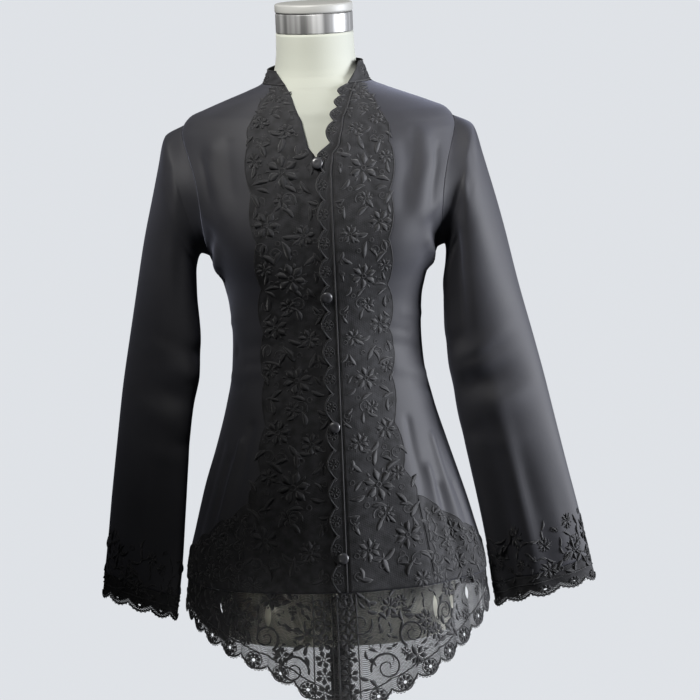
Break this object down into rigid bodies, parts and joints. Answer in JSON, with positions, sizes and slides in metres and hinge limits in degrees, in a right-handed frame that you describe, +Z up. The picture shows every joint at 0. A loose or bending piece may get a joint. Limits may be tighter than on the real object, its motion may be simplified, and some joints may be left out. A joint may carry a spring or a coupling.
{
  "type": "kebaya blouse on a dress form",
  "caption": "Fitted long-sleeved kebaya blouse with a lace-edged front opening and a pointed scalloped lace hem, worn on a limbless dress form on a round stand.",
  "frame": {"origin": "centre of the stand's underside, on the floor", "axes": "+Z up, -Y out of the blouse's front, +X toward the wearer's left"},
  "size_m": [0.6233, 0.34, 1.5005],
  "materials": {
    "black_cloth": "soft black cotton satin",
    "black_lace": "black lace, sheer below the fabric's hem",
    "button_shell": "glossy, dark grey",
    "form_cover": "smooth cream cover",
    "cap_grey": "satin",
    "bright_metal": "polished"
  },
  "bodies": {
    "root": {"back": "black_cloth", "front_right": "black_cloth", "front_left": "black_cloth", "sleeve_left": "black_cloth", "sleeve_right": "black_cloth", "collar": "black_lace", "front_lace_right": "black_lace", "front_lace_left": "black_lace", "edging_left": "black_lace", "border_lace_right": "black_lace", "border_lace_left": "black_lace", "hem_lace_left": "black_lace", "hem_lace_right": "black_lace", "hem_lace_back": "black_lace", "cuff_lace_left_front": "black_lace", "cuff_lace_left_back": "black_lace", "cuff_lace_right_front": "black_lace", "cuff_lace_right_back": "black_lace", "button_1": "button_shell", "button_2": "button_shell", "button_3": "button_shell", "button_4": "button_shell", "form_body": "form_cover", "form_neck_band": "bright_metal", "form_cap": "cap_grey", "stand_pole": "bright_metal", "stand_base": "bright_metal"}
  },
  "joints": []
}
